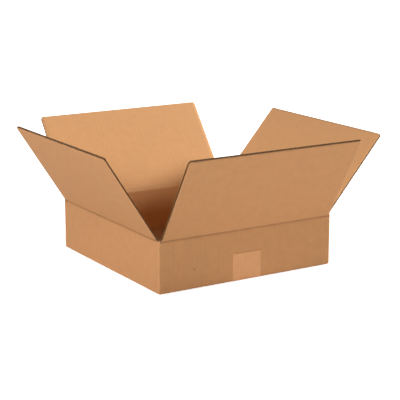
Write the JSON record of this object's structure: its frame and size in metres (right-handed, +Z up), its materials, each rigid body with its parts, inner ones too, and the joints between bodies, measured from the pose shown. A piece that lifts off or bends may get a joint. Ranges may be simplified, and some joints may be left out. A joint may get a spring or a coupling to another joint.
{
  "type": "open cardboard box",
  "caption": "Shallow square corrugated box with a taped bottom and hinged top flaps that lean open.",
  "frame": {"origin": "on the ground, in the middle of the bottom", "axes": "+X to the right along the taped front wall, +Y to the back, +Z up"},
  "size_m": [0.4984, 0.4863, 0.2145],
  "materials": {
    "corrugated_board": "matt kraft",
    "packing_tape": "satin"
  },
  "bodies": {
    "box": {"box_body": "corrugated_board", "bottom_tape": "packing_tape"},
    "front_flap": {"front_top_flap": "corrugated_board"},
    "back_flap": {"back_top_flap": "corrugated_board"},
    "left_flap": {"left_top_flap": "corrugated_board"},
    "right_flap": {"right_top_flap": "corrugated_board"}
  },
  "joints": [
    {"name": "front_crease", "type": "hinge", "parent": "box", "child": "front_flap", "pos_m": [0, -0.1562, 0.0785], "axis": [1, 0, 0], "range_deg": [-120.7, 87.3]},
    {"name": "back_crease", "type": "hinge", "parent": "box", "child": "back_flap", "pos_m": [0, 0.1562, 0.0785], "axis": [-1, 0, 0], "range_deg": [-127.2, 80.8]},
    {"name": "left_crease", "type": "hinge", "parent": "box", "child": "left_flap", "pos_m": [-0.1552, 0, 0.0816], "axis": [0, -1, 0], "range_deg": [-122.9, 85.1]},
    {"name": "right_crease", "type": "hinge", "parent": "box", "child": "right_flap", "pos_m": [0.1552, 0, 0.0816], "axis": [0, 1, 0], "range_deg": [-131.3, 76.7]}
  ]
}
